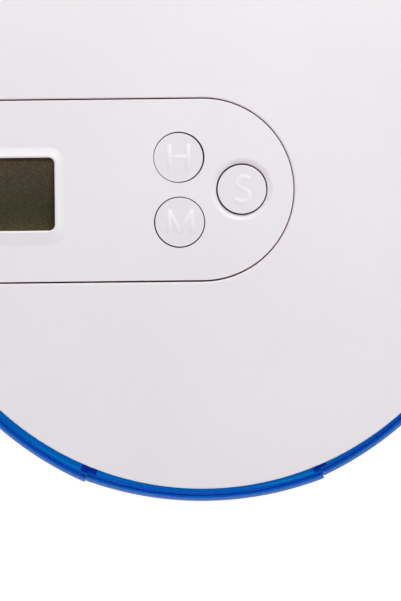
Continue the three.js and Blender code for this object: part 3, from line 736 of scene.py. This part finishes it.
def metal(name, colour, roughness):
    material, nodes, links, shader = node_material(name)
    shader.inputs["Metallic"].default_value = 1.0
    brush = noise(nodes, links, 900.0, 4.0, (1.0, 0.15, 1.0))
    tone = ramp(nodes, links, brush, [(0.3, shade(colour, 0.9)), (0.7, shade(colour, 1.05))])
    links.new(tone, shader.inputs["Base Color"])
    gloss = spread(nodes, links, brush, roughness - 0.06, roughness + 0.08)
    links.new(gloss, shader.inputs["Roughness"])
    bump(nodes, links, shader, brush, 0.00001, 0.5)
    return material


WHITE = (0.798, 0.767, 0.790)
SATIN = dict(roughness=0.42, grain_scale=5200.0, grain_depth=0.000006)
COVER_WHITE = moulded("cover_white", WHITE, **SATIN)
KEY_WHITE = moulded("key_white", (0.770, 0.742, 0.764), **SATIN)
LETTER_WHITE = moulded("letter_white", (0.815, 0.787, 0.810), 0.36, 5200.0, 0.000003, gaps=False)
LETTER_WHITE.node_tree.nodes["Principled BSDF"].inputs["Subsurface Weight"].default_value = 0.0
FRAME_WHITE = moulded("frame_white", WHITE, **SATIN, gaps=False)
BASE_WHITE = moulded("base_white", (0.74, 0.73, 0.765), 0.55, 3600.0, 0.000015)
BLUE = translucent_blue()
DISPLAY = display_face()
CLEAR = clear_plastic()
FOOT_RUBBER = rubber("foot_rubber", (0.02, 0.02, 0.022))
SILICONE = rubber("silicone", (0.55, 0.53, 0.56), 0.6)
RESIN = rubber("chip_resin", (0.012, 0.012, 0.014), 0.4)
SCREW_STEEL = metal("screw_steel", (0.55, 0.55, 0.57), 0.3)
CELL_STEEL = metal("cell_steel", (0.65, 0.65, 0.66), 0.2)
CONTACT_METAL = metal("contact_metal", (0.62, 0.58, 0.48), 0.3)
BRASS = metal("brass", (0.60, 0.46, 0.20), 0.32)
BOARD_GREEN = moulded("board_green", (0.03, 0.16, 0.06), 0.4, 1500.0, 0.00001)

CAD_MATERIALS = {
    "white_cover": COVER_WHITE,
    "white_base": BASE_WHITE,
    "white_key": KEY_WHITE,
    "clear_blue": BLUE,
    "screw_steel": SCREW_STEEL,
    "foot_rubber": FOOT_RUBBER,
    "clear_window": CLEAR,
    "lcd_glass": DISPLAY,
    "silicone": SILICONE,
    "board": BOARD_GREEN,
    "chip_resin": RESIN,
    "brass": BRASS,
    "cell_steel": CELL_STEEL,
    "contact": CONTACT_METAL,
}
for part in frame["record"]["subparts"]:
    node = frame["nodes"][part["node"]]
    node.data.materials.clear()
    node.data.materials.append(CAD_MATERIALS[part["material_slot"]])


# Cover

def tongue(half, rim_r, end_x=0.0, end_y=0.0):
    """Half circle about a point near the middle, straight sides, and an arc at the rim."""
    rim = math.asin(half / rim_r)
    inner = arc(end_x, end_y, half, -QUARTER_TURN, QUARTER_TURN, TONGUE_STEPS)
    return inner + arc(0, 0, rim_r, math.pi - rim, math.pi + rim, RIM_STEPS)


def cover_mesh():
    """Disc with its skirt, and the timer's channel with a groove in each side."""
    under = COVER_TOP - COVER_PLATE
    disc = revolve([
        (0, under),
        (SKIRT_IN_R, under),
        (SKIRT_IN_R, SKIRT_FOOT),
        (SKIRT_OUT_R, SKIRT_FOOT),
        (SKIRT_OUT_R, COVER_RIM_FOOT),
        (COVER_R - COVER_UNDER_EDGE, COVER_RIM_FOOT),
        (COVER_R, COVER_RIM_FOOT + COVER_UNDER_EDGE),
        *quarter(COVER_R - COVER_EDGE_ROUND, COVER_TOP - COVER_EDGE_ROUND, COVER_EDGE_ROUND),
        (0, COVER_TOP),
    ])
    channel = TIMER_HALF + CHANNEL_GAP
    trough = prism(tongue(channel + CHANNEL_WALL, CHANNEL_END_R), CHANNEL_UNDER, under + OVERLAP)
    pocket = flared_top(
        lambda offset: tongue(channel + offset, COVER_R + PAST_RIM, CHANNEL_END_FLARE * offset),
        CHANNEL_FLOOR, COVER_TOP, CHANNEL_EDGE,
    )
    reach = TIMER_HALF + FLANGE_OUT + CLEARANCE
    grooves = block(
        -COVER_R - PAST_RIM, GROOVE_END, -reach, reach,
        FLANGE_LOW - CLEARANCE, FLANGE_HIGH + CLEARANCE,
    )
    return cut(join(disc, trough), pocket, grooves)


piece("cover_shell", cover_mesh(), COVER_WHITE, "box", ["top_cover"])


# Timer

def window_outline(grow, bounds=WINDOW):
    """Outline of the display opening, grown on all sides, with rounded corners."""
    x0, x1, y0, y1 = bounds
    x0, x1, y0, y1 = x0 - grow, x1 + grow, y0 - grow, y1 + grow
    r = WINDOW_CORNER + grow
    corners = [(x1 - r, y0 + r), (x1 - r, y1 - r), (x0 + r, y1 - r), (x0 + r, y0 + r)]
    outline = []
    for turn, (x, y) in enumerate(corners, -1):
        outline += arc(x, y, r, turn * QUARTER_TURN, (turn + 1) * QUARTER_TURN, FRAME_STEPS)
    return outline


def key_place(name):
    """Middle of a key: its place on the ring, moved by its seat."""
    angle = math.radians(KEYS[name]["deg"])
    dx, dy = KEYS[name]["seat"]
    return KEY_RING_R * math.cos(angle) + dx, KEY_RING_R * math.sin(angle) + dy


def key_hole(name, top):
    """Cutting post of a key's hole, its mouth rounded at a height."""
    x, y = key_place(name)
    dx, dy = KEYS[name]["shift"]
    radius = KEYS[name]["r"] + KEYS[name]["gap"]
    return flared_top(
        lambda offset: circle(x + dx, y + dy, radius + offset, KEY_STEPS),
        COVER_TOP - KEY_HOLE_DEPTH, top, KEY_HOLE_EDGE,
    )


def dish_tool():
    """Cutting form of the shallow dish round the set key, tangent to the face at its rim."""
    inner = KEYS["set_key"]["r"]
    rings = []
    for i in range(DISH_STEPS + 1):
        t = i / DISH_STEPS
        rise = (1 - math.cos(math.pi * t)) / 2
        radius = inner + (DISH_R - inner) * t
        z = COVER_TOP - DISH_DEPTH * (1 - rise)
        rings.append((circle(KEY_RING_R, 0, radius, KEY_STEPS), z))
    rings.append((circle(KEY_RING_R, 0, DISH_R, KEY_STEPS), COVER_TOP + THROUGH))
    return loft(rings)


def timer_shell_mesh():
    """Upper shell, open below, with the display's opening, the keys' holes and the end's grips."""
    under = COVER_TOP - TIMER_FACE
    outer = rounded_top(
        lambda offset: tongue(TIMER_HALF + TIMER_FIT + offset, COVER_R + offset, *TIMER_END_FIT),
        TIMER_FOOT, COVER_TOP, TIMER_EDGE,
    )
    outer.transform(Matrix.Translation((0, TIMER_SHIFT, 0)))
    room = prism(tongue(TIMER_HALF - TIMER_WALL, COVER_R - TIMER_WALL), TIMER_FOOT - THROUGH, under)
    holes = [key_hole(name, COVER_TOP) for name in ("hour_key", "minute_key")]
    holes += [dish_tool(), key_hole("set_key", COVER_TOP - DISH_DEPTH)]
    opening = prism(window_outline(FRAME_CREST), under - THROUGH, COVER_TOP + THROUGH)
    grips = []
    for i in range(GRIP_COUNT):
        y = (i - (GRIP_COUNT - 1) / 2) * GRIP_PITCH
        x = -math.sqrt(COVER_R ** 2 - y ** 2)
        grips.append(post(x, y, GRIP_R, TIMER_FOOT + GRIP_RISE, COVER_TOP - GRIP_DROP, GRIP_STEPS))
    return cut(outer, room, opening, *holes, *grips)


def frame_mesh():
    """Soft raised frame: a crease where it leaves the face, a slope, a crest and a rolled edge."""
    x0, x1, y0, y1 = WINDOW
    front, back = y0 - (FRAME_FRONT - FRAME_SIDE), y1 + FRAME_BACK - FRAME_SIDE
    crest = FRAME_TOP - COVER_TOP
    rings = []
    for i in range(FRAME_STEPS + 1):
        t = i / FRAME_STEPS
        rise = t * (FRAME_SLOPE + (1 - FRAME_SLOPE) * t)
        bounds = (x0, x1, front + (y0 - front) * t, back + (y1 - back) * t)
        grow = FRAME_SIDE + (FRAME_CREST - FRAME_SIDE) * t
        rings.append((window_outline(grow, bounds), COVER_TOP + crest * rise))
    for x, y in arc(0, 0, 1, QUARTER_TURN, 0, FRAME_STEPS)[1:]:
        grow = FRAME_CREST - (FRAME_CREST - FRAME_INNER_EDGE) * x
        height = FRAME_TOP - FRAME_INNER_DROP * (1 - y)
        rings.append((window_outline(grow), height))
    under = COVER_TOP - TIMER_FACE
    rings = [(rings[-1][0], under), (rings[0][0], under)] + rings
    return solid(*skin(rings, closed=True))


piece("timer_face", timer_shell_mesh(), COVER_WHITE, "timer", ["timer_front_shell"])
piece("display_frame", frame_mesh(), FRAME_WHITE, "timer")


# Keys and their raised letters

# Strokes: half width and height, reach and sinking of the faded ends, and step between strokes
STROKE_HALF = 0.41
STROKE_PROUD = 0.082
STROKE_FADE = 0.22
STROKE_SINK = 1.3
STROKE_STEP = 0.004
STROKE_R = (STROKE_HALF ** 2 + STROKE_PROUD ** 2) / (2 * STROKE_PROUD)
LETTERS = {
    "hour_key": [
        [(-1.38, 2.02), (-1.38, -2.0)],
        [(1.5, 2.02), (1.5, -2.0)],
        [(-1.38, 0.10), (1.5, 0.10)],
    ],
    "minute_key": [
        [(-1.62, 1.88), (-1.62, -1.85)],
        [(-1.62, 1.83), (0.0, -1.55)],
        [(0.0, -1.55), (1.9, 1.83)],
        [(1.9, 1.88), (1.9, -1.85)],
    ],
}


def letter_s():
    """S as two opposed arcs joined by the spine, with a straight tail."""
    top = arc(0, 1.01, 0.97, math.radians(35), math.radians(213), 14)
    low = arc(0, -0.95, 1.01, math.radians(33), math.radians(-122), 12)
    upper = [(x * 1.03 + 0.21, y) for x, y in top]
    lower = [(x * 1.11 + 0.03, y) for x, y in low]
    return [[*upper, *lower, (-1.08, -1.5)]]


def key_mesh(r):
    """Round key on a stem, with the flange that holds it under the timer's face."""
    low = KEY_LOW[2] / MM
    return revolve([
        (0, low),
        (KEY_STEM_R, low),
        (KEY_STEM_R, low + KEY_FLANGE_LOW),
        (KEY_FLANGE_R, low + KEY_FLANGE_LOW),
        (KEY_FLANGE_R, low + KEY_FLANGE_HIGH),
        (r, low + KEY_FLANGE_HIGH),
        *quarter(r - KEY_EDGE_ROUND, KEY_TOP - KEY_EDGE_ROUND, KEY_EDGE_ROUND),
        (0, KEY_TOP),
    ], KEY_STEPS)


def faded(points):
    """A stroke's points with their share of the radius; short ends run down into the key."""
    sunk = 1 - STROKE_SINK * STROKE_PROUD / STROKE_R
    ends = []
    for end, beside in ((points[0], points[1]), (points[-1], points[-2])):
        run = Vector(end) - Vector(beside)
        ends.append(Vector(end) + run.normalized() * STROKE_FADE)
    return [(*ends[0], sunk), *((x, y, 1) for x, y in points), (*ends[1], sunk)]


def stroke_curve(name, strokes, centre, z, body):
    """Raised strokes as a curve with a round section, sunk so that only its crest shows."""
    data = bpy.data.curves.new(name, "CURVE")
    data.dimensions = "3D"
    data.bevel_depth = STROKE_R * MM
    data.bevel_resolution = 5
    data.use_fill_caps = True
    for order, points in enumerate(strokes):
        level = z - order * STROKE_STEP
        spline = data.splines.new("POLY")
        spline.points.add(len(points) + 1)
        for point, (x, y, share) in zip(spline.points, faded(points)):
            point.co = ((centre[0] + x) * MM, (centre[1] + y) * MM, level * MM, 1)
            point.radius = share
    data.materials.append(LETTER_WHITE)
    made = bpy.data.objects.new(name, data)
    bpy.context.scene.collection.objects.link(made)
    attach(made, body)
    return made


LETTERS["set_key"] = letter_s()
for name in KEYS:
    x, y = key_place(name)
    cap = turned(key_mesh(KEYS[name]["r"]), 0, (x, y, 0))
    piece(f"{name}_cap", cap, KEY_WHITE, name, [name])
    stroke_curve(f"{name}_letter", LETTERS[name], (x, y), KEY_TOP + STROKE_PROUD - STROKE_R, name)


# Drawers

def axis_arc_end(radius, side):
    """Half angle of an arc about the box's middle that ends at a distance from the seam."""
    return HALF_SECTOR - math.asin(side / radius)


def face_arc_end(radius, side):
    """The same for an arc about the face's own centre, FACE_SET_BACK behind the middle."""
    return HALF_SECTOR - math.asin((side + FACE_SET_BACK * math.sin(HALF_SECTOR)) / radius)


def wedge_outline(side, inner_r, face_r):
    """Plan of a wedge that stays at a distance from both seams."""
    inner = axis_arc_end(inner_r, side)
    outer = face_arc_end(face_r, side)
    face = arc(-FACE_SET_BACK, 0, face_r, -outer, outer)
    return face + arc(0, 0, inner_r, inner, -inner, INNER_ARC_STEPS)


def beside_seam(along, side):
    """Point at a distance along the seam and a distance inwards from it."""
    c, s = math.cos(HALF_SECTOR), math.sin(HALF_SECTOR)
    return along * c + side * s, along * s - side * c


def seam_wall(start, end, gap, thickness, low, high, mirror):
    """Upright wall along one seam; mirror is 1 or -1 for the wedge's two sides."""
    far = gap + thickness
    places = [(start, gap), (start, far), (end, far), (end, gap)]
    corners = [beside_seam(*place) for place in places]
    outline = [(x, y * mirror) for x, y in corners]
    if mirror > 0:
        outline.reverse()
    return prism(outline, low, high)


def lean(z):
    """How far the inside of a front leans inwards at a height."""
    return FRONT_LEAN * ((z - FRONT_FOOT) / (FRONT_TOP - FRONT_FOOT)) ** LEAN_POWER


def front_profile():
    """Outside of a front as (height, inset): foot lip, wall, bead and stepped shoulder."""
    lip_top = FRONT_FOOT + LIP_H
    wall_foot = lip_top + LIP_FILLET
    points = [(FRONT_FOOT, LIP_CORNER - LIP_OUT), (FRONT_FOOT + LIP_CORNER, -LIP_OUT)]
    for x, y in arc(0, 0, LIP_ROUND, 0, QUARTER_TURN, SMALL_ROUND_STEPS):
        points.append((lip_top - LIP_ROUND + y, LIP_ROUND - LIP_OUT - x))
    for x, y in arc(0, 0, LIP_FILLET, QUARTER_TURN, 0, SMALL_ROUND_STEPS):
        points.append((wall_foot - y, -x))
    points += [(wall_foot + WALL_H * i / WALL_STEPS, 0) for i in range(1, WALL_STEPS + 1)]
    for x, y in arc(0, 0, BEAD_R, 0, QUARTER_TURN, SMALL_ROUND_STEPS):
        points.append((FRONT_TOP - BEAD_DROP + y, BEAD_INSET - x))
    points += [(FRONT_TOP - drop, inset) for drop, inset in SHOULDER]
    return points


def front_wall(gap):
    """Sweeps the section, up the outside and down the inside, from seam to seam."""
    section = [(FACE_R - inset, z) for z, inset in front_profile()]
    for i in range(INNER_STEPS + 1):
        z = FRONT_FOOT + (FRONT_TOP - FRONT_FOOT) * (1 - i / INNER_STEPS)
        section.append((FACE_R - FRONT_WALL - lean(z), z))
    size = len(section)
    verts, faces = [], []
    # Slices as (place along the arc, distance from its end, inset of the outside)
    slices = [(-1, 0, SEAM_EDGE), (-1, SEAM_EDGE, 0)]
    slices += [(2 * i / ARC_STEPS - 1, 0, 0) for i in range(1, ARC_STEPS)]
    slices += [(1, SEAM_EDGE, 0), (1, 0, SEAM_EDGE)]
    outside = size - INNER_STEPS - 1
    for place, along, inset in slices:
        for k, (r, z) in enumerate(section):
            reach = r - inset if k < outside else r
            turn = place * (face_arc_end(reach, gap) - along / reach)
            verts.append((reach * math.cos(turn) - FACE_SET_BACK, reach * math.sin(turn), z))
    last = (len(slices) - 1) * size
    for start in range(0, last, size):
        for k in range(size):
            here, after = start + k, start + (k + 1) % size
            faces.append((here, here + size, after + size, after))
    faces += [tuple(range(size)), tuple(reversed(range(last, last + size)))]
    return solid(verts, faces)


def end_returns(gap):
    """Walls at both ends of a front that run in along the seams, under the cover."""
    end = COVER_R + RETURN_PAST_COVER
    side = gap + RETURN_SET_IN
    low = TRAY_UNDER + RETURN_RISE
    high = FRONT_TOP - RETURN_DROP
    return [seam_wall(RETURN_R, end, side, TRAY_WALL, low, high, mirror) for mirror in (1, -1)]


def tray_mesh(gap):
    """Open wedge tray with a floor that curves up into its walls."""
    gap += TRAY_SET_IN
    outline = wedge_outline(gap, TRAY_IN_R, TRAY_FACE_R + TRAY_INTO_FACE)
    outer = prism(outline, TRAY_UNDER, TRAY_TOP)
    side = gap + TRAY_WALL
    rings = []
    for i in range(FLOOR_STEPS + 1):
        t = i / FLOOR_STEPS
        inset = FLOOR_CURVE * (1 - math.sqrt(1 - (1 - t) ** 2))
        ring = wedge_outline(side + inset, TRAY_IN_R + TRAY_WALL + inset, TRAY_FACE_R - inset)
        rings.append((ring, TRAY_UNDER + TRAY_FLOOR + FLOOR_CURVE * t))
    rings.append((wedge_outline(side, TRAY_IN_R + TRAY_WALL, TRAY_FACE_R), TRAY_TOP + THROUGH))
    return cut(outer, loft(rings))


def runner_mesh():
    """Rail under a tray, with the wider heel that stops it at full reach."""
    heel_end = HEEL_START + HEEL_LENGTH
    outline = [
        (HEEL_START, -HEEL_W / 2),
        (heel_end, -HEEL_W / 2),
        (heel_end, -RUNNER_W / 2),
        (RUNNER_END, -RUNNER_W / 2),
        (RUNNER_END, RUNNER_W / 2),
        (heel_end, RUNNER_W / 2),
        (heel_end, HEEL_W / 2),
        (HEEL_START, HEEL_W / 2),
    ]
    return prism(outline, RUNNER_FOOT, TRAY_UNDER + TRAY_FLOOR / 2)


def sector_place(deg, proud=0.0):
    """Placement of a piece built about +X in its own sector."""
    return Matrix.Rotation(math.radians(deg), 4, "Z") @ Matrix.Translation((proud * MM, 0, 0))


def drawer_mesh(gap):
    return join(tray_mesh(gap), front_wall(gap), *end_returns(gap), runner_mesh())


for number, (deg, proud) in enumerate(DRAWERS, 1):
    # The sides follow the seams however far the drawer is pushed in
    side_gap = SEAM_HALF_GAP - proud * math.sin(HALF_SECTOR)
    body = f"drawer_{number}"
    place = sector_place(deg, proud)
    piece(body, drawer_mesh(side_gap), BLUE, body, [f"day_{body}"], place)

# The fixed sector is notched for the timer
half = TIMER_HALF + FLANGE_OUT + NOTCH_GAP
notch = block(RETURN_R - NOTCH_REACH, FACE_R, -half, half, CHANNEL_FLOOR - CLEARANCE, COVER_TOP)
panel = cut(join(front_wall(SEAM_HALF_GAP), *end_returns(SEAM_HALF_GAP)), notch)
piece("fixed_rim", panel, BLUE, "box", ["rim_panel"], sector_place(FIXED_SECTOR_DEG))


# Screws

def screw_mesh(low, high, head_h, shank_r):
    """Pan-head screw with a cross recess, in the box of its CAD node."""
    head_r = (high[0] - low[0]) / 2
    length = high[2] - low[2]
    profile = [(0, 0)]
    for x, y in arc(0, 0, 1, QUARTER_TURN, 0, ROUND_STEPS):
        reach = CROWN_FLAT + (1 - CROWN_FLAT) * x
        profile.append((head_r * reach, head_h * CROWN_H * (1 - y)))
    profile += [(head_r, head_h), (shank_r, head_h), (shank_r, length - SCREW_TIP), (0, length)]
    arm = head_r * RECESS_REACH
    wide = head_r * RECESS_HALF_WIDTH
    deep = min(RECESS_DEPTH, head_h * CROWN_H)
    across = block(-arm, arm, -wide, wide, -THROUGH, deep)
    along = block(-wide, wide, -arm, arm, -THROUGH, deep)
    return cut(revolve(profile, SCREW_STEPS), across, along)


for kind, count, body, sizes in SCREWS:
    for number in range(1, count + 1):
        node = f"{kind}_screw_{number}"
        low, high = [Vector(corner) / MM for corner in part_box(node)]
        screw = turned(screw_mesh(low, high, *sizes), SCREW_TURN * number)
        x = (low.x + high.x) / 2
        y = (low.y + high.y) / 2
        place = Matrix.Translation((x * MM, y * MM, low.z * MM))
        name = f"{kind}_screw_head_{number}"
        piece(name, screw, SCREW_STEEL, body, [node], place)


# Stage

def floor_material():
    """Pale floor that is white to the camera and in gloss, and keeps the object's shadow."""
    material = bpy.data.materials.new("floor")
    material.use_nodes = True
    nodes, links = material.node_tree.nodes, material.node_tree.links
    nodes.clear()
    out = nodes.new("ShaderNodeOutputMaterial")
    matt = nodes.new("ShaderNodeBsdfDiffuse")
    matt.inputs["Color"].default_value = grey(FLOOR_GREY)
    lift = nodes.new("ShaderNodeEmission")
    lift.inputs["Color"].default_value = grey(1)
    rays = nodes.new("ShaderNodeLightPath").outputs
    seen = calc(nodes, links, "MAXIMUM", rays["Is Camera Ray"], rays["Is Glossy Ray"])
    seen = calc(nodes, links, "MAXIMUM", seen, rays["Is Transmission Ray"])
    links.new(calc(nodes, links, "MULTIPLY", seen, FLOOR_LIFT), lift.inputs["Strength"])
    total = nodes.new("ShaderNodeAddShader")
    links.new(matt.outputs[0], total.inputs[0])
    links.new(lift.outputs[0], total.inputs[1])
    links.new(total.outputs[0], out.inputs["Surface"])
    return material


def add_floor():
    mesh = bpy.data.meshes.new("floor")
    sides = ((-1, -1), (1, -1), (1, 1), (-1, 1))
    corners = [(x * FLOOR_HALF, y * FLOOR_HALF, 0) for x, y in sides]
    mesh.from_pydata(corners, [], [(0, 1, 2, 3)])
    mesh.materials.append(floor_material())
    made = bpy.data.objects.new("floor", mesh)
    bpy.context.scene.collection.objects.link(made)


def add_light(name, place, size, power):
    """Round lamp that looks at the origin, with its size in metres and its power in watts."""
    light = bpy.data.lights.new(name, "AREA")
    light.shape = "DISK"
    light.size = size
    light.energy = power
    made = bpy.data.objects.new(name, light)
    made.location = place
    made.rotation_euler = (-Vector(place)).to_track_quat("-Z", "Y").to_euler()
    bpy.context.scene.collection.objects.link(made)


def add_world():
    """Soft surround, bright low down and dark overhead; plain white to the camera."""
    world = bpy.data.worlds.new("studio")
    world.use_nodes = True
    nodes, links = world.node_tree.nodes, world.node_tree.links
    ground = nodes["Background"]
    place = nodes.new("ShaderNodeTexCoord")
    split = nodes.new("ShaderNodeSeparateXYZ")
    links.new(place.outputs["Generated"], split.inputs[0])
    glow = ramp(nodes, links, split.outputs["Z"], [
        (0.0, (1.45, 1.45, 1.46, 1)),
        (0.25, (1.15, 1.15, 1.16, 1)),
        (0.5, (0.60, 0.605, 0.62, 1)),
        (0.88, (0.40, 0.405, 0.42, 1)),
        (0.96, (0.03, 0.03, 0.032, 1)),
    ])
    rays = nodes.new("ShaderNodeLightPath").outputs
    seen = calc(nodes, links, "MAXIMUM", rays["Is Camera Ray"], rays["Is Transmission Ray"])
    in_gloss = rays["Is Glossy Ray"]
    level = blend_colour(nodes, links, in_gloss, grey(SURROUND_LEVEL), grey(SURROUND_IN_GLOSS))
    lit = blend_colour(nodes, links, 1.0, glow, level, "MULTIPLY")
    links.new(blend_colour(nodes, links, seen, lit, grey(1)), ground.inputs["Color"])
    bpy.context.scene.world = world


def add_camera():
    """Looks straight down, so that the cover's edge falls on its circle in the photograph."""
    scale = COVER_R * MM / PHOTO_COVER_R
    across = (PHOTO_COVER_X - PHOTO_W / 2) * scale
    down = (PHOTO_COVER_Y - PHOTO_H / 2) * scale
    data = bpy.data.cameras.new("camera")
    data.sensor_width = SENSOR
    data.lens = SENSOR * CAMERA_HEIGHT / (PHOTO_H * scale)
    data.clip_end = CAMERA_SIGHT
    made = bpy.data.objects.new("camera", data)
    turn = Matrix.Rotation(-PHOTO_TURN, 4, "Z")
    place = turn @ Vector((-across, down, 0))
    made.location = (place.x, place.y, COVER_TOP * MM + CAMERA_HEIGHT)
    made.rotation_euler = (0, 0, -PHOTO_TURN)
    bpy.context.scene.collection.objects.link(made)
    bpy.context.scene.camera = made


add_floor()
add_light("key_light", (0.10, 0.315, 0.31), size=0.34, power=1.87)
add_light("front_light", (-0.15, -1.27, 0.75), size=0.9, power=7.5)
add_world()
add_camera()
bpy.context.scene.view_settings.view_transform = "Standard"
